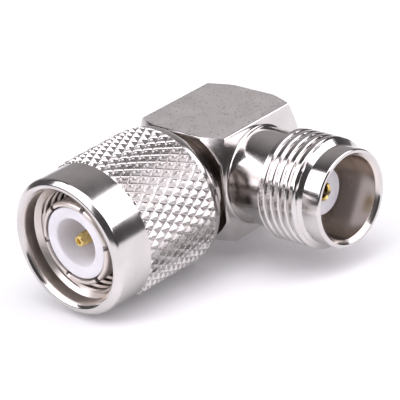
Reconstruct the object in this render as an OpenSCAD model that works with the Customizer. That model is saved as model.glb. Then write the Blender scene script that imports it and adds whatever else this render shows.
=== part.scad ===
// Right-angle coax adapter: a threaded jack along +X and a plug with a turning nut along -Y.
// The origin is where the two axes cross inside the square block, +Z is up, sizes are millimetres.

/* [Block] */
// Width of the square block across its flats
block_w = 10.9; // [10.6:0.1:12.5]
// Elbow centre to the front face, on the plug side
block_front = 5.15; // [5.1:0.05:6.2]
// Elbow centre to the back face
block_back = 6.25; // [6:0.05:8]
// Bevel along the four long edges
block_edge = 0.2; // [0.1:0.05:0.5]
// Diameter left flat on the front face by the turned corners
front_land_d = 12.1; // [11.6:0.1:13]
// Diameter left flat on the back face by the turned corners
back_land_d = 11.6; // [11.2:0.1:13]
// Slope of the turned corners against the face, degrees
corner_angle = 30; // [20:1:45]
// Bore that carries the centre conductor along the plug axis
core_bore_d = 4.8; // [4.4:0.1:5.2]
// Bore that carries the jack contact into the elbow
side_bore_d = 4.4; // [4:0.1:4.7]
// Diameter of the disc that closes the back
cap_d = 7.2; // [6.4:0.1:8.4]
// Thickness of that disc
cap_thick = 1.2; // [0.8:0.1:1.6]
// Bevel round the outside edge of the disc
cap_edge = 0.15; // [0.1:0.05:0.4]
// Length of the insulating bead under the disc
bead_len = 2.85; // [2.2:0.05:3.2]

/* [Jack] */
// Diameter pressed into the block
jack_seat_d = 7.4; // [6.8:0.1:8.4]
// Depth pressed into the block
jack_seat_len = 1.4; // [0.8:0.05:1.6]
// Diameter of the smooth neck
neck_d = 9.54; // [9:0.02:10]
// Length of the neck from the block to the thread
neck_len = 4.55; // [3.4:0.05:4.8]
// Radial rise of the flare where the neck meets the block
flare_rise = 0.22; // [0.1:0.02:0.3]
// Length of that flare
flare_len = 0.4; // [0.2:0.05:1]
// How far the thread stands out from the plain barrel
thread_rise = 0.6; // [0.5:0.02:0.8]
// Length of the full thread
jack_thread_len = 4.4; // [3.6:0.1:4.8]
// Length of the bevel at the front of the thread
thread_lead = 0.55; // [0.3:0.05:0.9]
// Wall of the plain barrel in front of the thread
barrel_wall = 0.765; // [0.7:0.005:1]
// Length of the plain barrel
barrel_len = 2.02; // [1.4:0.02:3]
// Bevel on the outside of the front rim
rim_edge = 0.12; // [0.05:0.01:0.2]
// Bevel on the inside of the front rim
rim_mouth = 0.4; // [0.1:0.05:0.5]
// How far the bore squeezes the finger tips of a plug like the one here
finger_squeeze = 0.155; // [0.05:0.005:0.25]
// Depth of that bore
barrel_bore_depth = 5.57; // [5:0.01:6.2]
// Length of the lip that holds the insulator back
lip_len = 1; // [0.6:0.1:1.6]
// Diameter of the jack insulator
jack_insulator_d = 5.76; // [5.4:0.02:6.2]
// Diameter of the insulator's nose
nose_d = 4.64; // [4:0.02:4.8]
// Front rim back to the face of the nose
nose_setback = 3.41; // [2.6:0.01:4.4]
// Diameter of the centre socket
socket_d = 1.8; // [1.7:0.02:2]
// Hole in the centre socket
socket_bore_d = 1.36; // [1.2:0.02:1.4]
// Depth of that hole
socket_bore_depth = 3.2; // [2.8:0.1:3.6]
// How far the socket stands out of the nose
socket_proud = 0.14; // [0.05:0.01:0.4]
// Length of the thin part of the socket
socket_len = 3.8; // [3.7:0.1:4.6]
// Bevel on the front edge of the socket
socket_edge = 0.06; // [0.02:0.01:0.1]
// Width of the cross cuts in the socket
socket_slot_w = 0.2; // [0.1:0.02:0.3]
// Length of the cross cuts
socket_slot_len = 2.6; // [1.6:0.1:2.8]
// Diameter of the socket's body inside the insulator
socket_body_d = 2.3; // [2.1:0.05:2.8]
// Elbow centre to the back of that body
socket_body_back = 2.4; // [1.8:0.1:3.2]
// Diameter of the tail soldered through the plug pin
tail_d = 0.96; // [0.8:0.02:1.1]
// How far the tail runs past the elbow centre
tail_over = 0.9; // [0.6:0.05:0.95]

/* [Plug] */
// Gasket to the tips of the fingers
finger_len = 5.6; // [5.2:0.1:6]
// Gap between the insulator and the fingers
finger_gap = 0.14; // [0.08:0.01:0.3]
// Wall of the fingers
finger_wall = 0.38; // [0.3:0.02:0.45]
// Radial rise of the bead at the finger tips
finger_bead = 0.06; // [0.02:0.01:0.12]
// Length of the bead at the finger tips
finger_bead_len = 0.7; // [0.4:0.05:1.2]
// Bevel on the outside of the finger tips
finger_edge = 0.16; // [0.05:0.01:0.2]
// Slots in pairs across the sleeve
finger_slot_pairs = 3; // [2:1:4]
// Width of a slot
finger_slot_w = 0.5; // [0.3:0.02:0.7]
// Length of a slot
finger_slot_len = 4.8; // [3.6:0.1:5.2]
// Length of thin wall behind the slots
finger_relief = 0.3; // [0.15:0.05:0.5]
// Turn of the first slot about the plug axis, degrees
finger_slot_turn = 7; // [0:1:59]
// Length of the sleeve inside the stem
finger_seat_len = 4; // [2.6:0.1:4.4]
// Diameter of the plug insulator
plug_insulator_d = 7.28; // [7:0.02:7.4]
// Finger tips back to the insulator's face
plug_insulator_setback = 0.17; // [0.05:0.01:0.4]
// Cavity round the pin
cavity_d = 4.86; // [4.7:0.02:5.2]
// Depth of the cavity
cavity_depth = 4.6; // [4.2:0.1:5.2]
// Wall under the cavity that the pin's shoulder meets
cavity_floor = 0.4; // [0.3:0.05:0.8]
// Diameter of the centre pin
pin_d = 1.32; // [1.2:0.02:1.36]
// Insulator's face back to the tip of the pin
pin_setback = 0.4; // [0.3:0.05:1.2]
// Length of the pin's tapered tip
pin_taper = 0.55; // [0.3:0.05:1.2]
// Flat left at the end of the tip
pin_tip_d = 0.9; // [0.6:0.02:1]
// Diameter of the dimple in that flat
pin_dimple_d = 0.4; // [0.2:0.02:0.5]
// Depth of the dimple
pin_dimple = 0.18; // [0.1:0.02:0.3]
// Diameter of the pin where it passes through the floor of the cavity
pin_root_d = 1.7; // [1.5:0.05:1.75]
// Diameter of the pin's conductor behind the cavity
conductor_d = 2; // [1.8:0.05:2.2]
// Diameter of the pin's tail in the bead
spigot_d = 1; // [0.8:0.05:1.4]
// Length of the pin's tail in the bead
spigot_len = 1.2; // [0.8:0.1:1.6]
// Diameter of the stem pressed into the block
stem_seat_d = 6.6; // [6.2:0.1:7]
// Depth pressed into the block
stem_seat_len = 2.6; // [1.6:0.1:2.7]
// Diameter of the shoulder against the block
shoulder_d = 10.2; // [9.6:0.1:10.8]
// Length of that shoulder
shoulder_len = 1.45; // [0.8:0.05:3]
// Wall of the stem round the finger sleeve
stem_wall = 0.37; // [0.3:0.01:0.6]
// Thickness of the gasket
gasket_len = 1; // [0.6:0.05:1.2]
// Gap between the gasket and the nut's thread
gasket_gap = 0.15; // [0.1:0.01:0.4]
// Bevel on the gasket's edges
gasket_edge = 0.15; // [0.05:0.05:0.25]
// Thickness of the split ring along the axis
ring_len = 0.6; // [0.4:0.05:0.8]
// How far the split ring stands out of the stem
ring_proud = 0.35; // [0.2:0.05:0.6]
// Depth of the ring's groove in the stem
ring_groove_depth = 0.45; // [0.3:0.05:0.7]
// Gap in the split ring
ring_gap = 1; // [0.6:0.1:2]
// Back of the nut to the middle of the split ring
ring_setback = 1.1; // [0.9:0.05:1.5]

/* [Coupling nut] */
// Wall of the nut round its mouth
nut_wall = 1.19; // [1.1:0.01:1.4]
// How far the bottom of the knurl lies under the plain bands
knurl_sunk = 0.11; // [0.05:0.01:0.2]
// Height of the knurl's diamonds
knurl_depth = 0.34; // [0.2:0.01:0.5]
// Length of the knurled band
knurl_len = 9; // [7:0.1:9.2]
// Knurl tips round the nut
knurl_count = 44; // [30:1:60]
// Half steps of the knurl along its length
knurl_rows = 10; // [6:2:14]
// Length of the plain band in front of the knurl
plain_len = 4.25; // [3:0.05:4.5]
// Radial part of the bevel at the front
front_bevel = 0.5; // [0.2:0.05:0.6]
// Axial part of the bevel at the front
front_bevel_len = 0.45; // [0.2:0.05:0.8]
// Length behind the knurl
back_len = 1.25; // [1:0.05:2]
// Radial fall of the rounded back edge
back_round = 0.5; // [0.2:0.05:0.8]
// Length of the rounded back edge
back_round_len = 0.75; // [0.3:0.05:1]
// Radial gap between the mouth and the crests of the jack's thread
mouth_gap = 0.32; // [0.2:0.01:0.6]
// Radial part of the bevel inside the mouth's rim
mouth_bevel = 0.37; // [0.2:0.01:0.45]
// Axial part of that bevel
mouth_bevel_len = 0.4; // [0.2:0.05:0.8]
// Depth of the mouth before the lead-in
mouth_depth = 1.65; // [1.4:0.05:2.4]
// Radial bite of the nut's thread into the jack's
thread_bite = 0.28; // [0.2:0.01:0.34]
// How far the relief behind the thread is cut under its grooves
relief_cut = 0.09; // [0.05:0.01:0.2]
// Length of the relief
relief_len = 1.1; // [0.6:0.1:1.8]
// Back of the nut to its inner step
collar_len = 6.3; // [5.6:0.1:7]
// End of the stem back to the nut's inner step
collar_setback = 0.4; // [0.2:0.05:0.8]

/* [Thread and fits] */
// Distance from one thread crest to the next
thread_pitch = 0.907; // [0.8:0.001:1]
// Depth of the thread grooves
thread_depth = 0.32; // [0.25:0.01:0.42]
// Width of a thread groove at its top
thread_groove_w = 0.4; // [0.3:0.01:0.6]
// Radial gap of a pressed seat
seat_clear = 0.02; // [0.01:0.005:0.03]
// Radial gap between the nut and the stem
run_clear = 0.05; // [0.03:0.005:0.08]
// Gap all round the split ring inside the nut
ring_clear = 0.1; // [0.05:0.01:0.15]
// Gap between the back of the nut and the stem's shoulder
nut_gap = 0.3; // [0.2:0.05:0.5]

/* [Hidden] */
$fn = 96;
over = 1;
nickel = [0.78, 0.77, 0.76];
white = [0.93, 0.92, 0.94];
gold = [0.83, 0.7, 0.38];
rubber = [0.12, 0.12, 0.13];
block_half = block_w / 2;
// Radius beyond the block's corners, where the turned corners are wider than the square
corner_r = block_half * 1.5;
core_r = core_bore_d / 2;
core_back = cap_thick - block_back;
bead_front = core_back + bead_len;
cap_r = cap_d / 2;
jack_seat = block_half - jack_seat_len;
jack_seat_r = jack_seat_d / 2;
neck_r = neck_d / 2;
thread_back = block_half + neck_len;
thread_front = thread_back + jack_thread_len;
plug_insulator_r = plug_insulator_d / 2;
finger_in_r = plug_insulator_r + finger_gap;
finger_r = finger_in_r + finger_wall;
finger_bead_r = finger_r + finger_bead;
barrel_bore_r = finger_bead_r - finger_squeeze;
barrel_r = barrel_bore_r + barrel_wall;
jack_thread_r = barrel_r + thread_rise;
jack_reach = thread_front + thread_lead + barrel_len;
barrel_floor = jack_reach - barrel_bore_depth;
lip_back = barrel_floor - lip_len;
jack_insulator_r = jack_insulator_d / 2;
nose_r = nose_d / 2;
nose_face = jack_reach - nose_setback;
socket_r = socket_d / 2;
socket_front = nose_face + socket_proud;
socket_stop = socket_front - socket_len;
socket_body_r = socket_body_d / 2;
tail_r = tail_d / 2;
shoulder_front = block_front + shoulder_len;
nut_back = shoulder_front + nut_gap;
collar_front = nut_back + collar_len;
stem_front = collar_front + collar_setback;
gasket_front = stem_front + gasket_len;
finger_reach = gasket_front + finger_len;
finger_slot_end = finger_reach - finger_slot_len;
finger_back = stem_front - finger_seat_len;
plug_face = finger_reach - plug_insulator_setback;
cavity_end = plug_face - cavity_depth;
pin_stop = cavity_end - cavity_floor;
pin_r = pin_d / 2;
pin_root_r = pin_root_d / 2;
pin_end = plug_face - pin_setback;
conductor_r = conductor_d / 2;
spigot_r = spigot_d / 2;
stem_seat = block_front - stem_seat_len;
stem_seat_r = stem_seat_d / 2;
stem_r = finger_r + seat_clear + stem_wall;
ring_mid = nut_back + ring_setback;
ring_groove_r = stem_r - ring_groove_depth;
ring_r = stem_r + ring_proud;
collar_r = stem_r + run_clear;
nut_thread_r = jack_thread_r - thread_bite;
relief_r = nut_thread_r + thread_depth + relief_cut;
gasket_r = nut_thread_r - gasket_gap;
nut_thread_back = collar_front + relief_len;
knurl_back = nut_back + back_len;
plain_back = knurl_back + knurl_len;
nut_reach = plain_back + plain_len;
mouth_r = jack_thread_r + mouth_gap;
mouth_end = nut_reach - mouth_depth;
nut_thread_front = mouth_end - (mouth_r - nut_thread_r);
plain_r = mouth_r + nut_wall;
knurl_root_r = plain_r - knurl_sunk;
knurl_r = knurl_root_r + knurl_depth;
// The nut's turned core stays this far under the knurl's lowest points
knurl_sink = 0.1;
core_under_r = knurl_root_r - knurl_sink;
// Depth of the knurl's inner wall inside that core
knurl_bury = 0.4;
knurl_in_r = core_under_r - knurl_bury;
// The knurl's ends are buried this far in the plain bands
knurl_tuck = 0.1;
knurl_cols = 2 * knurl_count;
knurl_z0 = knurl_back - knurl_tuck;
knurl_step = (knurl_len + 2 * knurl_tuck) / knurl_rows;
// Steps in the rounded edges, degrees of a quarter turn
arc_step = 18;

// Half profiles are drawn as radius and distance from the elbow centre
module turned(profile) rotate_extrude() polygon(profile);

module along_jack() rotate([0, 90, 0]) children();

module along_plug() rotate([90, 0, 0]) children();

module hole(r, z0, z1) translate([0, 0, z0]) cylinder(h = z1 - z0, r = r);

// Evenly spaced thread grooves between two distances, as profile points
function grooves(z0, z1, crest, root) =
    let (count = floor((z1 - z0) / thread_pitch))
    let (first = (z1 - z0 - (count - 1) * thread_pitch) / 2)
    [for (i = [0 : count - 1], side = [-1, 0, 1])
        [side == 0 ? root : crest, z0 + first + i * thread_pitch + side * thread_groove_w / 2]];

module body_block() color(nickel) difference() {
    along_plug() intersection() {
        translate([0, 0, -block_back])
            linear_extrude(block_front + block_back) polygon([for (turn = [0 : 90 : 270])
                for (end = [-1, 1])
                    let (a = block_half, b = end * (block_half - block_edge))
                    [a * cos(turn) - b * sin(turn), a * sin(turn) + b * cos(turn)]]);
        turned([
            [0, -block_back],
            [back_land_d / 2, -block_back],
            [corner_r, (corner_r - back_land_d / 2) * tan(corner_angle) - block_back],
            [corner_r, block_front - (corner_r - front_land_d / 2) * tan(corner_angle)],
            [front_land_d / 2, block_front],
            [0, block_front]]);
    }
    along_plug() hole(core_r, core_back - over / 2, block_front);
    along_plug() hole(stem_seat_r + seat_clear, stem_seat, block_front + over);
    along_plug() hole(cap_r + seat_clear, -block_back - over, core_back);
    along_jack() hole(side_bore_d / 2, 0, block_half);
    along_jack() hole(jack_seat_r + seat_clear, jack_seat, block_half + over);
}

module rear_cap() color(nickel) along_plug() turned([
    [0, -block_back],
    [cap_r - cap_edge, -block_back],
    [cap_r, cap_edge - block_back],
    [cap_r, core_back],
    [0, core_back]]);

module elbow_insulator() color(white) along_plug() difference() {
    hole(core_r - seat_clear, core_back, bead_front);
    hole(spigot_r + seat_clear, bead_front - spigot_len - seat_clear, bead_front + over);
}

module plug_stem() color(nickel) along_plug() turned([
    [core_r, stem_seat],
    [stem_seat_r, stem_seat],
    [stem_seat_r, block_front],
    [shoulder_d / 2, block_front],
    [shoulder_d / 2, shoulder_front],
    [stem_r, shoulder_front],
    [stem_r, ring_mid - ring_len / 2 - seat_clear],
    [ring_groove_r, ring_mid - ring_len / 2 - seat_clear],
    [ring_groove_r, ring_mid + ring_len / 2 + seat_clear],
    [stem_r, ring_mid + ring_len / 2 + seat_clear],
    [stem_r, stem_front],
    [finger_r + seat_clear, stem_front],
    [finger_r + seat_clear, finger_back],
    [core_r, finger_back]]);

module finger_sleeve() color(nickel) along_plug() difference() {
    turned([
        [plug_insulator_r + seat_clear, finger_back],
        [finger_r, finger_back],
        [finger_r, finger_reach - 2 * finger_bead_len],
        [finger_bead_r, finger_reach - finger_bead_len],
        [finger_bead_r, finger_reach - finger_edge],
        [finger_bead_r - finger_edge, finger_reach],
        [finger_in_r, finger_reach],
        [finger_in_r, finger_slot_end - finger_relief],
        [plug_insulator_r + seat_clear, finger_slot_end - finger_relief]]);
    for (i = [0 : finger_slot_pairs - 1])
        rotate([0, 0, finger_slot_turn + i * 180 / finger_slot_pairs])
            translate([-2 * finger_r, -finger_slot_w / 2, finger_slot_end])
                cube([4 * finger_r, finger_slot_w, finger_slot_len + over]);
}

module plug_insulator() color(white) along_plug() difference() {
    hole(plug_insulator_r, finger_back, plug_face);
    hole(cavity_d / 2, cavity_end, plug_face + over);
    hole(pin_root_r + seat_clear, pin_stop, cavity_end + over / 2);
    hole(conductor_r + seat_clear, finger_back - over, pin_stop);
}

module plug_pin() color(gold) difference() {
    along_plug() turned([
        [0, bead_front - spigot_len],
        [spigot_r, bead_front - spigot_len],
        [spigot_r, bead_front],
        [conductor_r, bead_front],
        [conductor_r, pin_stop],
        [pin_root_r, pin_stop],
        [pin_root_r, cavity_end],
        [pin_r, cavity_end],
        [pin_r, pin_end - pin_taper],
        [pin_tip_d / 2, pin_end],
        [pin_dimple_d / 2, pin_end],
        [0, pin_end - pin_dimple]]);
    along_jack() hole(tail_r + seat_clear, -conductor_d, conductor_d);
}

module gasket() color(rubber) along_plug() turned([
    [finger_r + seat_clear, stem_front],
    [gasket_r - gasket_edge, stem_front],
    [gasket_r, stem_front + gasket_edge],
    [gasket_r, gasket_front - gasket_edge],
    [gasket_r - gasket_edge, gasket_front],
    [finger_r + seat_clear, gasket_front]]);

module retaining_ring() color(nickel) along_plug() difference() {
    hole(ring_r, ring_mid - ring_len / 2, ring_mid + ring_len / 2);
    hole(ring_groove_r + seat_clear, ring_mid - ring_len, ring_mid + ring_len);
    translate([0, -ring_gap / 2, ring_mid - ring_len])
        cube([2 * ring_r, ring_gap, 2 * ring_len]);
}

// A ring of pointed diamonds: low and high points alternate, and each cell folds along its low points
module knurl() {
    outer = [for (j = [0 : knurl_rows], i = [0 : knurl_cols - 1])
        let (high = j > 0 && j < knurl_rows && (i + j) % 2 == 1)
        let (r = high ? knurl_r : knurl_root_r)
        let (a = i * 360 / knurl_cols)
        [r * cos(a), r * sin(a), knurl_z0 + j * knurl_step]];
    inner = [for (j = [0, knurl_rows], i = [0 : knurl_cols - 1])
        let (a = i * 360 / knurl_cols)
        [knurl_in_r * cos(a), knurl_in_r * sin(a), knurl_z0 + j * knurl_step]];
    low = len(outer);
    high = low + knurl_cols;
    top = knurl_rows * knurl_cols;
    skin = [for (j = [0 : knurl_rows - 1], i = [0 : knurl_cols - 1], half = [0, 1])
        let (k = (i + 1) % knurl_cols)
        let (a = j * knurl_cols + i, b = j * knurl_cols + k)
        let (c = a + knurl_cols, d = b + knurl_cols)
        (i + j) % 2 == 0 ? (half == 0 ? [a, d, b] : [a, c, d]) : (half == 0 ? [a, c, b] : [b, c, d])];
    ends = [for (i = [0 : knurl_cols - 1], part = [0 : 2])
        let (k = (i + 1) % knurl_cols)
        part == 0 ? [i, k, low + k, low + i]
            : part == 1 ? [top + i, high + i, high + k, top + k]
            : [low + i, low + k, high + k, high + i]];
    polyhedron(points = concat(outer, inner), faces = concat(skin, ends));
}

module coupling_nut() color(nickel) along_plug() difference() {
    union() {
        turned(concat(
            [[0, nut_back]],
            [for (a = [0 : arc_step : 90])
                [plain_r - back_round * (1 - sin(a)), nut_back + back_round_len * (1 - cos(a))]],
            [[plain_r, knurl_back],
            [core_under_r, knurl_back],
            [core_under_r, plain_back],
            [plain_r, plain_back],
            [plain_r, nut_reach - front_bevel_len],
            [plain_r - front_bevel, nut_reach],
            [0, nut_reach]]));
        knurl();
    }
    turned(concat(
        [[0, nut_back - over],
        [collar_r, nut_back - over],
        [collar_r, ring_mid - ring_len / 2 - ring_clear],
        [ring_r + ring_clear, ring_mid - ring_len / 2 - ring_clear],
        [ring_r + ring_clear, ring_mid + ring_len / 2 + ring_clear],
        [collar_r, ring_mid + ring_len / 2 + ring_clear],
        [collar_r, collar_front],
        [relief_r, collar_front],
        [relief_r, nut_thread_back],
        [nut_thread_r, nut_thread_back]],
        grooves(nut_thread_back, nut_thread_front, nut_thread_r, nut_thread_r + thread_depth),
        [[nut_thread_r, nut_thread_front],
        [mouth_r, mouth_end],
        [mouth_r, nut_reach - mouth_bevel_len],
        [mouth_r + mouth_bevel, nut_reach],
        [mouth_r + mouth_bevel, nut_reach + over],
        [0, nut_reach + over]]));
}

module jack_barrel() color(nickel) along_jack() turned(concat(
    [[jack_insulator_r + seat_clear, jack_seat],
    [jack_seat_r, jack_seat],
    [jack_seat_r, block_half]],
    [for (a = [0 : arc_step : 90])
        [neck_r + flare_rise * (1 - sin(a)), block_half + flare_len * (1 - cos(a))]],
    [[neck_r, thread_back],
    [jack_thread_r, thread_back]],
    grooves(thread_back, thread_front, jack_thread_r, jack_thread_r - thread_depth),
    [[jack_thread_r, thread_front],
    [barrel_r, thread_front + thread_lead],
    [barrel_r, jack_reach - rim_edge],
    [barrel_r - rim_edge, jack_reach],
    [barrel_bore_r + rim_mouth, jack_reach],
    [barrel_bore_r, jack_reach - rim_mouth],
    [barrel_bore_r, barrel_floor],
    [nose_r + seat_clear, barrel_floor],
    [nose_r + seat_clear, lip_back],
    [jack_insulator_r + seat_clear, lip_back]]));

module jack_insulator() color(white) along_jack() turned([
    [socket_body_r + seat_clear, jack_seat],
    [jack_insulator_r, jack_seat],
    [jack_insulator_r, lip_back],
    [nose_r, lip_back],
    [nose_r, nose_face],
    [socket_r + seat_clear, nose_face],
    [socket_r + seat_clear, socket_stop],
    [socket_body_r + seat_clear, socket_stop]]);

module jack_socket() color(gold) along_jack() difference() {
    turned([
        [0, -tail_over],
        [tail_r, -tail_over],
        [tail_r, socket_body_back],
        [socket_body_r, socket_body_back],
        [socket_body_r, socket_stop],
        [socket_r, socket_stop],
        [socket_r, socket_front - socket_edge],
        [socket_r - socket_edge, socket_front],
        [0, socket_front]]);
    hole(socket_bore_d / 2, socket_front - socket_bore_depth, socket_front + over);
    for (turn = [45, 135])
        rotate([0, 0, turn])
            translate([-socket_d, -socket_slot_w / 2, socket_front - socket_slot_len])
                cube([2 * socket_d, socket_slot_w, socket_slot_len + over]);
}

body_block();
rear_cap();
elbow_insulator();
plug_stem();
finger_sleeve();
plug_insulator();
plug_pin();
gasket();
retaining_ring();
coupling_nut();
jack_barrel();
jack_insulator();
jack_socket();
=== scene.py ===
import math

import bpy
import numpy as np
from mathutils import Matrix, Vector


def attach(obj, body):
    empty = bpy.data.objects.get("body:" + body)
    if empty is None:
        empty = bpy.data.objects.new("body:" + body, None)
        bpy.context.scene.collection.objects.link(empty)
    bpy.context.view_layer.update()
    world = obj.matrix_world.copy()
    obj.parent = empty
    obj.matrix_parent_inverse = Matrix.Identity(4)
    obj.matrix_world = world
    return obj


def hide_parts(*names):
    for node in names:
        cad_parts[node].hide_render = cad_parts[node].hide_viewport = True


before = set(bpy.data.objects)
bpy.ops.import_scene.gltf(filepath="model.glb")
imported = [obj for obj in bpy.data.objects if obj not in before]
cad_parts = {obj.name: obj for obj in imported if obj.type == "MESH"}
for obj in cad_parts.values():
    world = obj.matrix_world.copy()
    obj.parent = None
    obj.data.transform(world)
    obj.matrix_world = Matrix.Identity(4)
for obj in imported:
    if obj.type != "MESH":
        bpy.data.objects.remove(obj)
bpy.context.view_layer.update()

MM = 0.001
JACK, PLUG = "jack", "plug"

# Sizes in millimetres: radii about an axis, and distances along it from where the two axes cross

# Clearance between pieces that fit into each other
FIT = 0.02

# The block and its cap
BLOCK_HALF, BLOCK_FRONT, BLOCK_BACK, BLOCK_EDGE, BLOCK_BEVEL = 5.45, 5.15, 6.25, 0.2, 0.18
FRONT_LAND, BACK_LAND, CORNER_SLOPE = 6.05, 5.8, math.tan(math.radians(30))
CAP_R, CAP_BACK, CAP_FLOOR, SIDE_BORE = 3.58, -6.22, -5.05, 2.2

# The jack's barrel, from its foot in the block to its mouth
JACK_FOOT, JACK_FOOT_R, JACK_CORE = 4.05, 3.7, 2.9
NECK_R, FLARE_R, FLARE_LENGTH = 4.77, 0.22, 0.4
JACK_CREST, THREAD_BACK, THREAD_FRONT, LEAD_END, BARREL_R = 5.43, 10.0, 14.4, 14.95, 4.83
JACK_END, JACK_EDGE, JACK_BEVEL, JACK_BORE = 16.97, 0.12, 0.4, 4.065
LIP_R, LIP_BACK, LIP_FRONT = 2.34, 10.4, 11.4

# The jack's insulator and socket
NOSE_END, SOCKET_BODY_R, SOCKET_STEP, SOCKET_R, SOCKET_END = 13.56, 1.15, 9.9, 0.9, 13.7
SOCKET_HOLE, SOCKET_FLOOR, TAIL_R, TAIL_BACK, TAIL_FRONT = 0.68, 10.5, 0.48, -0.9, 2.4

# The plug's stem and the fingers round its insulator
STEM_FOOT, STEM_FOOT_R, STEM_BORE, STEM_R, STEM_FRONT, STEM_END = 2.55, 3.3, 2.4, 4.55, 9.6, 13.6
SHOULDER_R, SHOULDER_FRONT, RING_SLOT_R, RING_SLOT_BACK, RING_SLOT_FRONT = 5.1, 6.6, 4.1, 7.68, 8.32
SLEEVE_IN, SLEEVE_OUT, SLEEVE_STEP, FINGER_IN, FINGER_END, BEAD_R = 3.66, 4.16, 15.1, 3.78, 20.2, 4.22

# The plug's insulator and pin
FACE_END, CAVITY_R, CAVITY_FLOOR = 20.03, 2.43, 15.43
CONDUCTOR_R, PIN_SEAT_R, PIN_SEAT, PIN_R, PIN_END, PIN_DIMPLE = 1.0, 0.85, 15.03, 0.66, 19.63, 19.2

# The nut, with its thread inside and its knurl outside
NUT_R, NUT_EDGE_R, NUT_BORE, NUT_BACK, NUT_FRONT = 6.94, 6.44, 4.6, 6.9, 21.4
NUT_CREST, NUT_THREAD_BACK, NUT_THREAD_FRONT, MOUTH_R, MOUTH_END = 5.15, 14.3, 19.15, 5.75, 19.75
NUT_RELIEF, NUT_RELIEF_BACK, NUT_SLOT_R, NUT_SLOT_BACK, NUT_SLOT_FRONT = 5.56, 13.2, 5.0, 7.6, 8.4
KNURL_TIP, KNURL_ROOT, KNURL_BACK, KNURL_FRONT, KNURL_COUNT, KNURL_ROWS = 7.17, 6.84, 8.15, 17.15, 44, 5

# Both threads, and the length over which the jack's runs out at the neck
PITCH, THREAD_DEPTH, GROOVE_W, RUN_OUT = 0.907, 0.32, 0.4, 0.35

# Points of the mesh across one diamond of the knurl, and along one turn of each thread
KNURL_FINE, JACK_THREAD_FINE, NUT_THREAD_FINE = 12, 16, 8
# How far a vertex may lie from the radius that it was turned to, and from the ends of a band
ON_RADIUS, ON_END = 0.002, 0.01
# Length of one band of Blender's wave pattern at a scale of 1
WAVE_BAND = 0.314
# Bright nickel, from its darker patches to its lighter ones
NICKEL = ("#cbc7c4", "#d6d2d0")


def hex_colour(text):
    """A colour written as sRGB hex, as the linear values that the shaders take."""
    parts = [int(text[i:i + 2], 16) / 255 for i in (1, 3, 5)]
    return [p / 12.92 if p <= 0.04045 else ((p + 0.055) / 1.055) ** 2.4 for p in parts] + [1.0]


def add_node(tree, kind, settings, links=()):
    """Adds a shader node with its properties, ramp stops and input values, and links its inputs."""
    new = tree.nodes.new(kind)
    for key, value in settings.items():
        if key == "color_ramp":
            for stop, (level, colour) in zip(new.color_ramp.elements, value):
                stop.position, stop.color = level, colour
        elif isinstance(key, str) and hasattr(new, key):
            setattr(new, key, value)
        else:
            new.inputs[key].default_value = value
    for key, source in dict(links).items():
        tree.links.new(source, new.inputs[key])
    return new


def new_material(name):
    """A material with an empty node tree."""
    material = bpy.data.materials.new(name)
    material.use_nodes = True
    material.node_tree.nodes.clear()
    return material, material.node_tree


def nickel_plate(name, axis, rough, inside=0.0, dull=0.0, warm=NICKEL):
    """Bright nickel on turned brass: a mirror with fine lathe rings, duller and warmer in its bores."""
    material, tree = new_material(name)
    place = add_node(tree, "ShaderNodeTexCoord", {}).outputs["Object"]
    # Cloudy patches 2.5 mm across, where the plate took unevenly
    cloud = add_node(tree, "ShaderNodeTexNoise", {"Scale": 1 / (2.5 * MM), "Detail": 3.0},
                     {"Vector": place})
    outer = add_node(tree, "ShaderNodeValToRGB",
                     {"color_ramp": ((0.35, hex_colour(NICKEL[0])), (0.7, hex_colour(NICKEL[1])))},
                     {"Fac": cloud.outputs["Fac"]})
    # Lathe rings are near 0.05 mm apart; they are drawn 0.16 mm apart so that they show
    rings = add_node(tree, "ShaderNodeTexWave",
                     {"wave_type": "BANDS", "bands_direction": axis, "Scale": WAVE_BAND / (0.16 * MM),
                      "Distortion": 1.5, "Detail": 2.0, "Detail Scale": 3.0},
                     {"Vector": place})
    # Specks 0.125 mm across keep the mirror from being perfect
    speck = add_node(tree, "ShaderNodeTexNoise", {"Scale": 1 / (0.125 * MM), "Detail": 2.0},
                     {"Vector": place})
    marks = add_node(tree, "ShaderNodeMath", {"operation": "MULTIPLY_ADD", 1: 0.5},
                     {0: speck.outputs["Fac"], 2: rings.outputs["Fac"]})
    gloss = add_node(tree, "ShaderNodeMapRange",
                     {"From Min": 0.3, "From Max": 0.75, "To Min": rough, "To Max": rough + 0.08},
                     {"Value": cloud.outputs["Fac"]})
    # Faces nearer the axis than the inside radius are bored: the thin plate there is warmer and duller
    thin = add_node(tree, "ShaderNodeValToRGB",
                    {"color_ramp": ((0.35, hex_colour(warm[0])), (0.7, hex_colour(warm[1])))},
                    {"Fac": cloud.outputs["Fac"]})
    flat = add_node(tree, "ShaderNodeVectorMath",
                    {"operation": "MULTIPLY", 1: (0, 1, 1) if axis == "X" else (1, 0, 1)}, {0: place})
    reach = add_node(tree, "ShaderNodeVectorMath", {"operation": "LENGTH"}, {0: flat.outputs["Vector"]})
    bored = add_node(tree, "ShaderNodeMath", {"operation": "LESS_THAN", 1: inside * MM},
                     {0: reach.outputs["Value"]})
    colour = add_node(tree, "ShaderNodeMix", {"data_type": "RGBA"},
                      {0: bored.outputs["Value"], 6: outer.outputs["Color"], 7: thin.outputs["Color"]})
    finish = add_node(tree, "ShaderNodeMath", {"operation": "MULTIPLY_ADD", 1: dull},
                      {0: bored.outputs["Value"], 2: gloss.outputs["Result"]})
    bump = add_node(tree, "ShaderNodeBump", {"Strength": 0.1, "Distance": 0.004 * MM},
                    {"Height": marks.outputs["Value"]})
    shader = add_node(tree, "ShaderNodeBsdfPrincipled", {"Metallic": 1.0},
                      {"Base Color": colour.outputs[2], "Roughness": finish.outputs["Value"],
                       "Normal": bump.outputs["Normal"]})
    add_node(tree, "ShaderNodeOutputMaterial", {}, {"Surface": shader.outputs["BSDF"]})
    return material


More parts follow.
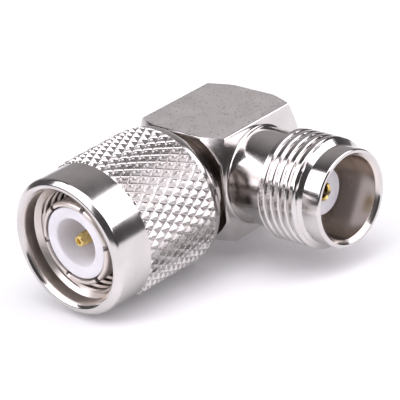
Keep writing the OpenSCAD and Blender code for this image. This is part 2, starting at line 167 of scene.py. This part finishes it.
def milled_nickel(name):
    """Nickel on milled flats: satin, with pits, short scuffs that catch the light, and dark specks."""
    material, tree = new_material(name)
    place = add_node(tree, "ShaderNodeTexCoord", {}).outputs["Object"]
    # Cloudy patches, one in about 1.8 mm
    cloud = add_node(tree, "ShaderNodeTexNoise", {"Scale": 0.55 / MM, "Detail": 4.0}, {"Vector": place})
    clear = add_node(tree, "ShaderNodeValToRGB",
                     {"color_ramp": ((0.35, hex_colour("#d9d5d2")), (0.7, hex_colour("#dedad7")))},
                     {"Fac": cloud.outputs["Fac"]})
    # Pits about 0.3 mm apart
    pits = add_node(tree, "ShaderNodeTexVoronoi", {"Scale": 3.5 / MM}, {"Vector": place})
    pit = add_node(tree, "ShaderNodeValToRGB",
                   {"color_ramp": ((0.02, (0, 0, 0, 1)), (0.22, (1, 1, 1, 1)))},
                   {"Fac": pits.outputs["Distance"]})
    # Scuffs run along the block, about 2 mm long and 0.2 mm wide
    stretch = add_node(tree, "ShaderNodeMapping", {"Scale": (1.0, 0.08, 1.0)}, {"Vector": place})
    scuff = add_node(tree, "ShaderNodeTexNoise", {"Scale": 6 / MM, "Detail": 2.0},
                     {"Vector": stretch.outputs["Vector"]})
    # Dark specks of about 0.2 mm, where the milling tore the brass
    speck = add_node(tree, "ShaderNodeTexNoise", {"Scale": 4.5 / MM, "Detail": 3.0}, {"Vector": place})
    torn = add_node(tree, "ShaderNodeValToRGB",
                    {"color_ramp": ((0.26, hex_colour("#aea7a7")), (0.42, hex_colour("#ffffff")))},
                    {"Fac": speck.outputs["Fac"]})
    colour = add_node(tree, "ShaderNodeMix", {"data_type": "RGBA", "blend_type": "MULTIPLY", 0: 1.0},
                      {6: clear.outputs["Color"], 7: torn.outputs["Color"]})
    marks = add_node(tree, "ShaderNodeMath", {"operation": "MULTIPLY_ADD", 1: 0.6},
                     {0: scuff.outputs["Fac"], 2: pit.outputs["Color"]})
    gloss = add_node(tree, "ShaderNodeMapRange",
                     {"From Min": 0.3, "From Max": 0.75, "To Min": 0.48, "To Max": 0.54},
                     {"Value": cloud.outputs["Fac"]})
    bump = add_node(tree, "ShaderNodeBump", {"Strength": 0.3, "Distance": 0.006 * MM},
                    {"Height": marks.outputs["Value"]})
    shader = add_node(tree, "ShaderNodeBsdfPrincipled", {"Metallic": 1.0},
                      {"Base Color": colour.outputs[2], "Roughness": gloss.outputs["Result"],
                       "Normal": bump.outputs["Normal"]})
    add_node(tree, "ShaderNodeOutputMaterial", {}, {"Surface": shader.outputs["BSDF"]})
    return material


def fluoropolymer(name):
    """Turned white fluoropolymer: waxy and matte, faintly cloudy, with light that soaks in a little."""
    material, tree = new_material(name)
    place = add_node(tree, "ShaderNodeTexCoord", {}).outputs["Object"]
    # Clouding, one patch in about 1.4 mm
    cloud = add_node(tree, "ShaderNodeTexNoise", {"Scale": 0.7 / MM, "Detail": 3.0}, {"Vector": place})
    colour = add_node(tree, "ShaderNodeValToRGB",
                      {"color_ramp": ((0.3, hex_colour("#e7e5ea")), (0.7, hex_colour("#f0eef2")))},
                      {"Fac": cloud.outputs["Fac"]})
    # Cutter marks of 0.125 mm
    grain = add_node(tree, "ShaderNodeTexNoise", {"Scale": 1 / (0.125 * MM), "Detail": 2.0},
                     {"Vector": place})
    bump = add_node(tree, "ShaderNodeBump", {"Strength": 0.15, "Distance": 0.006 * MM},
                    {"Height": grain.outputs["Fac"]})
    gloss = add_node(tree, "ShaderNodeMapRange", {"To Min": 0.42, "To Max": 0.58},
                     {"Value": grain.outputs["Fac"]})
    shader = add_node(tree, "ShaderNodeBsdfPrincipled",
                      {"IOR": 1.35, "Subsurface Weight": 0.2, "Subsurface Radius": (0.6, 0.55, 0.55),
                       "Subsurface Scale": 0.5 * MM},
                      {"Base Color": colour.outputs["Color"], "Roughness": gloss.outputs["Result"],
                       "Normal": bump.outputs["Normal"]})
    add_node(tree, "ShaderNodeOutputMaterial", {}, {"Surface": shader.outputs["BSDF"]})
    return material


def gold_plate(name):
    """Thin gold plated on the contacts: pale yellow, soft gloss, a little browner where it is thin."""
    material, tree = new_material(name)
    place = add_node(tree, "ShaderNodeTexCoord", {}).outputs["Object"]
    # Thin places about 0.7 mm across
    cloud = add_node(tree, "ShaderNodeTexNoise", {"Scale": 1.4 / MM, "Detail": 3.0}, {"Vector": place})
    colour = add_node(tree, "ShaderNodeValToRGB",
                      {"color_ramp": ((0.3, hex_colour("#c4a865")), (0.7, hex_colour("#e2cd8a")))},
                      {"Fac": cloud.outputs["Fac"]})
    gloss = add_node(tree, "ShaderNodeMapRange", {"To Min": 0.2, "To Max": 0.34},
                     {"Value": cloud.outputs["Fac"]})
    bump = add_node(tree, "ShaderNodeBump", {"Strength": 0.1, "Distance": 0.004 * MM},
                    {"Height": cloud.outputs["Fac"]})
    shader = add_node(tree, "ShaderNodeBsdfPrincipled", {"Metallic": 1.0},
                      {"Base Color": colour.outputs["Color"], "Roughness": gloss.outputs["Result"],
                       "Normal": bump.outputs["Normal"]})
    add_node(tree, "ShaderNodeOutputMaterial", {}, {"Surface": shader.outputs["BSDF"]})
    return material


def dull_finish(name, dark, light, metallic, rough):
    """A fine dull grain for what lies deep: silicone rubber, bare spring metal, and a dark brown painted as
    shade in the gap behind the nut.
    """
    material, tree = new_material(name)
    place = add_node(tree, "ShaderNodeTexCoord", {}).outputs["Object"]
    # Grain of 0.2 mm
    grain = add_node(tree, "ShaderNodeTexNoise", {"Scale": 1 / (0.2 * MM), "Detail": 3.0},
                     {"Vector": place})
    colour = add_node(tree, "ShaderNodeValToRGB",
                      {"color_ramp": ((0.3, hex_colour(dark)), (0.7, hex_colour(light)))},
                      {"Fac": grain.outputs["Fac"]})
    bump = add_node(tree, "ShaderNodeBump", {"Strength": 0.2, "Distance": 0.008 * MM},
                    {"Height": grain.outputs["Fac"]})
    shader = add_node(tree, "ShaderNodeBsdfPrincipled", {"Metallic": metallic, "Roughness": rough},
                      {"Base Color": colour.outputs["Color"], "Normal": bump.outputs["Normal"]})
    add_node(tree, "ShaderNodeOutputMaterial", {}, {"Surface": shader.outputs["BSDF"]})
    return material


def deselect():
    """Leaves edit mode and selects nothing."""
    if bpy.context.object and bpy.context.object.mode != "OBJECT":
        bpy.ops.object.mode_set(mode="OBJECT")
    bpy.ops.object.select_all(action="DESELECT")


def pick(piece):
    """Selects one piece alone and makes it the active one."""
    deselect()
    bpy.context.view_layer.objects.active = piece
    piece.select_set(True)


def settle(piece):
    """Puts a piece's place into its mesh, closes its seams and turns its faces outwards."""
    pick(piece)
    bpy.ops.object.transform_apply(location=True, rotation=True, scale=True)
    bpy.ops.object.mode_set(mode="EDIT")
    bpy.ops.mesh.select_all(action="SELECT")
    bpy.ops.mesh.remove_doubles(threshold=0.0005 * MM)
    bpy.ops.mesh.normals_make_consistent(inside=False)
    bpy.ops.object.mode_set(mode="OBJECT")


def smooth(piece, degrees=32):
    """Shades a piece smooth except across edges sharper than this."""
    pick(piece)
    bpy.ops.object.shade_smooth_by_angle(angle=math.radians(degrees))


def eased(profile, size):
    """Rounds a closed half profile's corners, as plating does; a point's third value overrides the size."""
    points = []
    for i, here in enumerate(profile):
        last, following = Vector(profile[i - 1][:2]), Vector(profile[(i + 1) % len(profile)][:2])
        corner = Vector(here[:2])
        back, ahead = last - corner, following - corner
        reach = min(here[2] if len(here) > 2 else size, back.length * 0.45, ahead.length * 0.45)
        bend = math.pi - back.angle(ahead) if back.length and ahead.length else 0.0
        # Nearly straight corners, tiny ones and those on the axis stay as they are
        if reach < 0.002 or bend < 0.3 or here[0] == 0:
            points.append(corner)
            continue
        a, b = corner + back.normalized() * reach, corner + ahead.normalized() * reach
        points += [a * (1 - t) ** 2 + corner * (2 * t * (1 - t)) + b * t ** 2
                   for t in (0, 0.25, 0.5, 0.75, 1)]
    return points


def turned(name, profile, axis, steps=160, size=0.05):
    """Turns a closed half profile of radius and distance about the jack's or the plug's axis."""
    along, out = {JACK: ((1, 0, 0), (0, 0, 1)), PLUG: ((0, -1, 0), (1, 0, 0))}[axis]
    points = [(Vector(out) * p[0] + Vector(along) * p[1]) * MM for p in eased(profile, size)]
    deselect()
    bpy.ops.mesh.primitive_plane_add(size=MM, location=points[0])
    piece = bpy.context.object
    piece.name = piece.data.name = name
    bpy.ops.object.mode_set(mode="EDIT")
    bpy.ops.mesh.select_all(action="SELECT")
    bpy.ops.mesh.merge(type="CENTER")
    for a, b in zip(points, points[1:] + points[:1]):
        bpy.ops.mesh.extrude_region_move(TRANSFORM_OT_translate={"value": b - a})
    bpy.ops.mesh.select_all(action="SELECT")
    bpy.ops.mesh.spin(steps=steps, angle=2 * math.pi, center=(0, 0, 0), axis=along)
    settle(piece)
    smooth(piece)
    return piece


def rod(radius, start, end):
    """The half profile of a plain round rod, for boring with."""
    return [(0, start), (radius, start), (radius, end), (0, end)]


def block_piece(name, size, place, turn=None):
    """A box of a size in millimetres at a place, turned about the origin by an angle and axis if asked."""
    deselect()
    bpy.ops.mesh.primitive_cube_add(size=1, location=Vector(place) * MM)
    piece = bpy.context.object
    piece.name = name
    piece.scale = Vector(size) * MM
    settle(piece)
    if turn:
        piece.matrix_world = Matrix.Rotation(turn[0], 4, turn[1])
        settle(piece)
    return piece


def combine(piece, tool, operation):
    """Cuts a piece with a tool, or keeps only what the two share, and throws the tool away."""
    pick(piece)
    step = piece.modifiers.new("cut", "BOOLEAN")
    step.operation, step.object, step.solver = operation, tool, "EXACT"
    bpy.ops.object.modifier_apply(modifier=step.name)
    bpy.data.objects.remove(tool)


def slit(piece, size, place, axis, turns):
    """Saws slits right through a piece with a blade of this size, at each turn in degrees about an axis."""
    for turn in turns:
        combine(piece, block_piece("slit", size, place, (math.radians(turn), axis)), "DIFFERENCE")
    settle(piece)
    smooth(piece)


def polar(piece, axis):
    """The vertices of a piece as radius, angle and distance along an axis, in millimetres."""
    flat = np.empty(len(piece.data.vertices) * 3)
    piece.data.vertices.foreach_get("co", flat)
    x, y, z = flat.reshape(-1, 3).T / MM
    across, up, along = (y, z, x) if axis == JACK else (x, z, -y)
    return np.hypot(across, up), np.arctan2(up, across), along


def move_radius(piece, axis, radius, angle, along):
    """Writes vertices back from radius, angle and distance along an axis."""
    across, up = radius * np.cos(angle), radius * np.sin(angle)
    place = np.stack((along, across, up) if axis == JACK else (across, -along, up), 1) * MM
    piece.data.vertices.foreach_set("co", place.ravel())
    piece.data.update()


def groove(along, angle):
    """Depth, from 0 to 1, of a right-hand thread groove whose edges and root the plating has rounded."""
    phase = (along / PITCH - angle / (2 * math.pi)) % 1.0
    off = np.abs(phase - 0.5) * PITCH
    return 0.5 + 0.5 * np.cos(math.pi * np.clip(off / (0.62 * GROOVE_W), 0, 1))


def steps_between(a, b, step):
    """Evenly spaced distances from one to another, both ends included."""
    count = max(1, round(abs(b - a) / step))
    return [a + (b - a) * i / count for i in range(count + 1)]


def make_body_block():
    """The square block: milled, its corners turned to cones at both ends, then bored for what it holds."""
    length = BLOCK_FRONT + BLOCK_BACK
    middle = (0, (BLOCK_BACK - BLOCK_FRONT) / 2, 0)
    piece = block_piece("body_block_finish", (2 * BLOCK_HALF, length, 2 * BLOCK_HALF), middle)
    for edge in piece.data.edges:
        a, b = (piece.data.vertices[i].co for i in edge.vertices)
        edge.select = abs(a.y - b.y) > length * MM / 2
    bpy.ops.object.mode_set(mode="EDIT")
    bpy.ops.mesh.select_mode(type="EDGE")
    bpy.ops.mesh.bevel(offset=BLOCK_EDGE * MM, offset_type="OFFSET", segments=3, affect="EDGES")
    bpy.ops.mesh.select_mode(type="VERT")
    settle(piece)
    # The turning is wider than the block is from its middle to a corner
    wide = 9.0
    turning = [(0, -BLOCK_BACK), (BACK_LAND, -BLOCK_BACK, 0),
               (wide, (wide - BACK_LAND) * CORNER_SLOPE - BLOCK_BACK, 0),
               (wide, BLOCK_FRONT - (wide - FRONT_LAND) * CORNER_SLOPE, 0),
               (FRONT_LAND, BLOCK_FRONT, 0), (0, BLOCK_FRONT)]
    combine(piece, turned("corner_turning", turning, PLUG, steps=240), "INTERSECT")
    # The cap's seat has a bevelled mouth, and each tool reaches past the face that it cuts
    seat = CAP_R + 2 * FIT
    mouth = seat + 0.08
    cap_seat = [(0, -7), (mouth, -7), (mouth, CAP_BACK, 0), (seat, CAP_BACK + 0.12, 0),
                (seat, CAP_FLOOR), (0, CAP_FLOOR)]
    for name, profile, axis in (("cap_seat", cap_seat, PLUG),
                                ("core_bore", rod(STEM_BORE, -5.5, 4), PLUG),
                                ("stem_seat", rod(STEM_FOOT_R + FIT, STEM_FOOT, 6), PLUG),
                                ("side_bore", rod(SIDE_BORE, 0.5, 5), JACK),
                                ("jack_seat", rod(JACK_FOOT_R + FIT, JACK_FOOT, 6), JACK)):
        combine(piece, turned(name, profile, axis, steps=96, size=0), "DIFFERENCE")
    pick(piece)
    soft = piece.modifiers.new("edges", "BEVEL")
    soft.width, soft.segments = BLOCK_BEVEL * MM, 3
    soft.limit_method, soft.angle_limit = "ANGLE", math.radians(24)
    bpy.ops.object.modifier_apply(modifier=soft.name)
    settle(piece)
    smooth(piece, 26)
    return piece


def make_jack_barrel():
    """The jack's threaded barrel: turned, then its thread cut as a true helix with a bevelled start."""
    flare = [(NECK_R + FLARE_R * (1 - math.sin(a)), BLOCK_HALF + FLARE_LENGTH * (1 - math.cos(a)), 0)
             for a in np.linspace(0, math.pi / 2, 7)]
    step = PITCH / JACK_THREAD_FINE
    fine = [(JACK_CREST, x, 0) for x in steps_between(THREAD_BACK, THREAD_FRONT, step)]
    slope = (JACK_CREST - BARREL_R) / (LEAD_END - THREAD_FRONT)
    lead = [(JACK_CREST - slope * (x - THREAD_FRONT), x, 0)
            for x in steps_between(THREAD_FRONT, LEAD_END, step)[1:]]
    profile = [(JACK_CORE, JACK_FOOT), (JACK_FOOT_R, JACK_FOOT), (JACK_FOOT_R, BLOCK_HALF, 0), *flare,
               (NECK_R, THREAD_BACK), *fine, *lead, (BARREL_R, JACK_END - JACK_EDGE),
               (BARREL_R - JACK_EDGE, JACK_END), (JACK_BORE + JACK_BEVEL, JACK_END),
               (JACK_BORE, JACK_END - JACK_BEVEL), (JACK_BORE, LIP_FRONT), (LIP_R, LIP_FRONT),
               (LIP_R, LIP_BACK), (JACK_CORE, LIP_BACK)]
    piece = turned("jack_barrel_finish", profile, JACK, steps=240)
    radius, angle, along = polar(piece, JACK)
    cone = JACK_CREST - slope * np.maximum(along - THREAD_FRONT, 0)
    between = (along > THREAD_BACK + 2 * ON_END) & (along < LEAD_END - ON_END)
    ease = np.clip((along - THREAD_BACK) / RUN_OUT, 0, 1)
    cut = JACK_CREST - THREAD_DEPTH * groove(along, angle) * ease
    radius = np.where(between & (np.abs(radius - cone) < ON_RADIUS), np.minimum(cone, cut), radius)
    move_radius(piece, JACK, radius, angle, along)
    smooth(piece, 28)
    return piece


def make_coupling_nut():
    """The coupling nut: turned, then its knurl rolled outside and its thread cut inside."""
    length = KNURL_FRONT - KNURL_BACK
    rows = [(KNURL_ROOT, s, 0)
            for s in steps_between(KNURL_BACK, KNURL_FRONT, length / (KNURL_ROWS * KNURL_FINE))]
    step = PITCH / NUT_THREAD_FINE
    lead = [(NUT_CREST + s - NUT_THREAD_FRONT, s, 0)
            for s in steps_between(MOUTH_END, NUT_THREAD_FRONT, step)]
    fine = [(NUT_CREST, s, 0) for s in steps_between(NUT_THREAD_FRONT, NUT_THREAD_BACK, step)[1:]]
    back = [(NUT_BORE, NUT_BACK), (NUT_EDGE_R, NUT_BACK, 0.1), (NUT_R, 7.62, 0.22),
            (NUT_R, KNURL_BACK, 0)]
    front = [(NUT_R, KNURL_FRONT, 0), (NUT_R, 20.95, 0.2), (NUT_EDGE_R, NUT_FRONT, 0.2),
             (6.12, NUT_FRONT, 0.12), (MOUTH_R, 21.0, 0.12)]
    # Behind the thread come a relief, the running bore and the slot for the retaining ring
    bore = [(NUT_RELIEF, NUT_THREAD_BACK), (NUT_RELIEF, NUT_RELIEF_BACK), (NUT_BORE, NUT_RELIEF_BACK),
            (NUT_BORE, NUT_SLOT_FRONT), (NUT_SLOT_R, NUT_SLOT_FRONT), (NUT_SLOT_R, NUT_SLOT_BACK),
            (NUT_BORE, NUT_SLOT_BACK)]
    profile = [*back, *rows, *front, *lead, *fine, *bore]
    piece = turned("coupling_nut_finish", profile, PLUG, steps=KNURL_COUNT * KNURL_FINE)
    radius, angle, along = polar(piece, PLUG)
    # Two sets of grooves cross at thirty degrees to the axis and leave raised diamonds
    across = angle * KNURL_COUNT / (2 * math.pi)
    down = (along - KNURL_BACK) / length * KNURL_ROWS
    off = np.minimum(*(np.abs(t - np.round(t)) for t in (across - down, across + down)))
    # The grooves have round bottoms, the diamonds small flat tops, and both ends of the knurl a bevel
    bottom, top, end_height, end_slope = 0.08, 0.38, 0.25, 2.5
    height = np.clip((np.hypot(off, bottom) - bottom) / (math.hypot(top, bottom) - bottom), 0, 1)
    from_end = np.clip(np.minimum(along - KNURL_BACK, KNURL_FRONT - along), 0, 1)
    height = np.minimum(height, end_height + end_slope * from_end)
    rolled = KNURL_ROOT + (KNURL_TIP - KNURL_ROOT) * height
    between = (along > KNURL_BACK - ON_END) & (along < KNURL_FRONT + ON_END)
    radius = np.where(between & (np.abs(radius - KNURL_ROOT) < ON_RADIUS), rolled, radius)
    cone = NUT_CREST + np.maximum(along - NUT_THREAD_FRONT, 0)
    cut = NUT_CREST + THREAD_DEPTH * groove(along, angle)
    between = (along > NUT_THREAD_BACK + 2 * ON_END) & (along < MOUTH_END - ON_END)
    radius = np.where(between & (np.abs(radius - cone) < ON_RADIUS), np.maximum(cone, cut), radius)
    move_radius(piece, PLUG, radius, angle, along)
    # Each small face is split along its shorter diagonal, so that the grooves of the knurl stay sharp
    pick(piece)
    bpy.ops.object.mode_set(mode="EDIT")
    bpy.ops.mesh.select_all(action="SELECT")
    bpy.ops.mesh.quads_convert_to_tris(quad_method="SHORTEST_DIAGONAL")
    smooth(piece, 24)
    return piece


def make_finger_sleeve():
    """The plug's outer contact: a thin sleeve slit into six springy fingers with a bead at their tips."""
    profile = [(SLEEVE_IN, STEM_FRONT), (SLEEVE_OUT, STEM_FRONT), (SLEEVE_OUT, 18.8), (BEAD_R, 19.5),
               (BEAD_R, FINGER_END - 0.16), (BEAD_R - 0.16, FINGER_END), (FINGER_IN, FINGER_END),
               (FINGER_IN, SLEEVE_STEP), (SLEEVE_IN, SLEEVE_STEP)]
    piece = turned("finger_sleeve_finish", profile, PLUG, steps=192, size=0.06)
    slit(piece, (20, 5.2, 0.5), (0, -18, 0), "Y", (-7, -67, -127))
    return piece


def make_jack_socket():
    """The jack's centre contact: a tube with a bevelled mouth, slit crosswise, and a tail to solder."""
    profile = [(0, TAIL_BACK), (TAIL_R, TAIL_BACK), (TAIL_R, TAIL_FRONT), (SOCKET_BODY_R, TAIL_FRONT),
               (SOCKET_BODY_R, SOCKET_STEP), (SOCKET_R, SOCKET_STEP), (SOCKET_R, SOCKET_END - 0.06, 0.02),
               (SOCKET_R - 0.04, SOCKET_END, 0.02), (SOCKET_HOLE, SOCKET_END - 0.2),
               (SOCKET_HOLE, SOCKET_FLOOR), (0, SOCKET_FLOOR)]
    piece = turned("jack_socket_finish", profile, JACK, steps=64, size=0.04)
    slit(piece, (3.0, 4.0, 0.2), (12.6, 0, 0), "X", (45, 135))
    return piece


def make_plug_pin():
    """The plug's centre pin with its drilled tip, its conductor and the hole for the jack's tail."""
    profile = [(0, -3.4), (0.5, -3.4), (0.5, -2.2), (CONDUCTOR_R, -2.2), (CONDUCTOR_R, PIN_SEAT),
               (PIN_SEAT_R, PIN_SEAT), (PIN_SEAT_R, CAVITY_FLOOR), (PIN_R, CAVITY_FLOOR),
               (PIN_R, 19.08, 0.25), (0.52, PIN_END, 0.12), (0.26, PIN_END, 0.04),
               (0.16, PIN_DIMPLE, 0.05), (0, PIN_DIMPLE)]
    piece = turned("plug_pin_finish", profile, PLUG, steps=64, size=0.04)
    tail_hole = turned("tail_hole", rod(TAIL_R + FIT, -2, 2), JACK, steps=32, size=0)
    combine(piece, tail_hole, "DIFFERENCE")
    settle(piece)
    smooth(piece)
    return piece


def make_rear_cap():
    """The disc pressed into the block's back, with a bevelled edge."""
    profile = [(0, CAP_BACK), (CAP_R - 0.16, CAP_BACK, 0.12), (CAP_R, CAP_BACK + 0.17),
               (CAP_R, CAP_FLOOR), (0, CAP_FLOOR)]
    return turned("rear_cap_finish", profile, PLUG, size=0.04)


def make_plug_stem():
    """The plug's body: a foot in the block, a shoulder, and the neck with the slot for the nut's ring."""
    profile = [(STEM_BORE, STEM_FOOT), (STEM_FOOT_R, STEM_FOOT), (STEM_FOOT_R, BLOCK_FRONT),
               (SHOULDER_R, BLOCK_FRONT), (SHOULDER_R, SHOULDER_FRONT, 0.12), (STEM_R, SHOULDER_FRONT),
               (STEM_R, RING_SLOT_BACK), (RING_SLOT_R, RING_SLOT_BACK), (RING_SLOT_R, RING_SLOT_FRONT),
               (STEM_R, RING_SLOT_FRONT), (STEM_R, STEM_END), (SLEEVE_OUT + FIT, STEM_END),
               (SLEEVE_OUT + FIT, STEM_FRONT), (STEM_BORE, STEM_FRONT)]
    return turned("plug_stem_finish", profile, PLUG)


def make_plug_insulator():
    """The plug's insulator with its round cavity, whose lip is well rounded."""
    profile = [(CONDUCTOR_R + FIT, STEM_FRONT), (SLEEVE_IN - FIT, STEM_FRONT),
               (SLEEVE_IN - FIT, FACE_END, 0.1), (CAVITY_R, FACE_END, 0.3), (CAVITY_R, CAVITY_FLOOR),
               (PIN_SEAT_R + FIT, CAVITY_FLOOR), (PIN_SEAT_R + FIT, PIN_SEAT), (CONDUCTOR_R + FIT, PIN_SEAT)]
    return turned("plug_insulator_finish", profile, PLUG)


def make_jack_insulator():
    """The jack's insulator: a body in the barrel and a narrower nose round the socket."""
    profile = [(SOCKET_BODY_R + FIT, JACK_FOOT), (JACK_CORE - FIT, JACK_FOOT), (JACK_CORE - FIT, LIP_BACK),
               (LIP_R - FIT, LIP_BACK), (LIP_R - FIT, NOSE_END, 0.08), (SOCKET_R + FIT, NOSE_END, 0.03),
               (SOCKET_R + FIT, SOCKET_STEP), (SOCKET_BODY_R + FIT, SOCKET_STEP)]
    return turned("jack_insulator_finish", profile, JACK)


bright_jack = nickel_plate("bright_nickel_plate_jack", "X", 0.1, 4.3, 0.11, ("#d7cfc8", "#e0d8d1"))
bright_nut = nickel_plate("bright_nickel_plate_nut", "Y", 0.12, 5.9, 0.19, ("#d3cbc5", "#dcd4ce"))
bright_block = nickel_plate("bright_nickel_plate_block", "Y", 0.12)
# Rolling leaves the knurl softer than the turned bands
rolled_nut = nickel_plate("rolled_nickel_plate_knurl", "Y", 0.24)
satin_block = milled_nickel("satin_nickel_plate_block")
white_insulator = fluoropolymer("turned_white_fluoropolymer")
gold = gold_plate("gold_plate")
black_rubber = dull_finish("black_silicone_rubber", "#1b1b1d", "#28282b", 0.0, 0.6)
# The block's front face in the narrow gap behind the nut gets a dull dark brown: painted shade for the gap
gap_painted_shade = dull_finish("painted_shade_gap_brown", "#3e3732", "#51473f", 1.0, 0.3)
spring_metal = dull_finish("bare_spring_bronze", "#8a7f74", "#a0958a", 1.0, 0.35)

# Each finish piece stands for one CAD node: piece, node, body, material slot, materials
finishes = [
    (make_body_block(), "body_block", "adapter", "nickel", (satin_block, bright_block, gap_painted_shade)),
    (make_jack_barrel(), "jack_barrel", "adapter", "nickel", (bright_jack,)),
    (make_coupling_nut(), "coupling_nut", "nut", "nickel", (bright_nut, rolled_nut)),
    (make_finger_sleeve(), "finger_sleeve", "adapter", "nickel", (bright_nut,)),
    (make_jack_socket(), "jack_socket", "adapter", "gold", (gold,)),
    (make_plug_pin(), "plug_pin", "adapter", "gold", (gold,)),
    (make_rear_cap(), "rear_cap", "adapter", "nickel", (satin_block,)),
    (make_plug_stem(), "plug_stem", "adapter", "nickel", (bright_block,)),
    (make_plug_insulator(), "plug_insulator", "adapter", "insulator", (white_insulator,)),
    (make_jack_insulator(), "jack_insulator", "adapter", "insulator", (white_insulator,)),
]
for piece, name, body, slot, materials in finishes:
    piece.data.materials.clear()
    for material in materials:
        piece.data.materials.append(material)
    if name == "body_block":
        # The top and bottom are left as milled, the front in the gap gets the dull brown of painted shade,
        # and all the rest is bright
        for face in piece.data.polygons:
            face.material_index = 2 if face.normal.y < -0.98 else int(abs(face.normal.z) < 0.98)
    if name == "coupling_nut":
        for face in piece.data.polygons:
            x, y, z = face.center / MM
            face.material_index = int(KNURL_BACK < -y < KNURL_FRONT and math.hypot(x, z) > 6.5)
    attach(piece, body)
    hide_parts(name)
for name, material in (("elbow_insulator", white_insulator), ("gasket", black_rubber),
                       ("retaining_ring", spring_metal)):
    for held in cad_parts[name].material_slots:
        held.material = material

# The soft lights are a very little blue, and so is what the table gives back of them
LIGHT_COLOUR = hex_colour("#fbf8ff")
# Brightness of the soft lights, and their distance in metres
LIGHT_BRIGHT, LIGHT_AWAY = 3.1, 0.4
# Height of the table in millimetres
TABLE_LEVEL = -7.4

# A pale table of matte paper, just under the nut
deselect()
bpy.ops.mesh.primitive_plane_add(size=6, location=(0, 0, TABLE_LEVEL * MM))
table_top = bpy.context.object
table_top.name = "pale_table"
table_paper, tree = new_material("pale_table_paper")
paper = add_node(tree, "ShaderNodeBsdfPrincipled",
                 {"Base Color": hex_colour("#e4e4e4"), "Roughness": 0.9, "Specular IOR Level": 0.0,
                  "Emission Color": LIGHT_COLOUR, "Emission Strength": 0.13})
add_node(tree, "ShaderNodeOutputMaterial", {}, {"Surface": paper.outputs["BSDF"]})
table_top.data.materials.append(table_paper)


def softbox(name, turn, lift, width, height):
    """A soft studio light at a compass turn and lift, as wide and high as these angles from the object."""
    light = bpy.data.lights.new(name, "AREA")
    wide, high = (2 * LIGHT_AWAY * math.tan(math.radians(angle / 2)) for angle in (width, height))
    light.shape, light.size, light.size_y = "RECTANGLE", wide, high
    light.energy = LIGHT_BRIGHT * math.pi * wide * high
    light.color = LIGHT_COLOUR[:3]
    lamp = bpy.data.objects.new(name, light)
    bpy.context.scene.collection.objects.link(lamp)
    turn, lift = math.radians(turn), math.radians(lift)
    aim = Vector((math.cos(lift) * math.cos(turn), math.cos(lift) * math.sin(turn), math.sin(lift)))
    lamp.location = aim * LIGHT_AWAY
    lamp.rotation_mode = "QUATERNION"
    lamp.rotation_quaternion = aim.to_track_quat("Z", "Y")


softbox("softbox_right", 35.4, 42, 54, 38)
softbox("softbox_left", -114.6, 41, 54, 39)
softbox("softbox_above", -45, 80, 50, 50)

# A dim room above the table, a little lighter low down behind the object
scene = bpy.context.scene
scene.world = bpy.data.worlds.new("dim_room")
scene.world.use_nodes = True
tree = scene.world.node_tree
tree.nodes.clear()
around = add_node(tree, "ShaderNodeTexCoord", {})
behind = add_node(tree, "ShaderNodeVectorMath", {"operation": "DOT_PRODUCT", 1: (-0.6457, 0.6828, 0.342)},
                  {0: around.outputs["Generated"]})
wall = add_node(tree, "ShaderNodeValToRGB",
                {"color_ramp": ((0.6, hex_colour("#4f4c4e")), (0.95, hex_colour("#aaa6a8")))},
                {"Fac": behind.outputs["Value"]})
room = add_node(tree, "ShaderNodeBackground", {"Strength": 1.0}, {"Color": wall.outputs["Color"]})
add_node(tree, "ShaderNodeOutputWorld", {}, {"Surface": room.outputs["Background"]})

# The camera stands where the photograph was taken from: its three axes, and its place along them
back = Vector((0.64518298, -0.63569368, 0.42383072))
right = Vector((0.73449037, 0.66881194, -0.1149543))
above = Vector((-0.21038732, 0.38546614, 0.89841696))
spot = (back * 255.9353 + right * -1.7795 + above * -3.6686) * MM
camera_data = bpy.data.cameras.new("camera")
camera_data.sensor_width, camera_data.lens = 36, 234.46
camera_data.clip_start, camera_data.clip_end = 0.01, 20
camera = bpy.data.objects.new("camera", camera_data)
scene.collection.objects.link(camera)
camera.matrix_world = Matrix.Translation(spot) @ Matrix((right, above, back)).transposed().to_4x4()
scene.camera = camera
scene.view_settings.view_transform = "Standard"
scene.view_settings.look = "None"
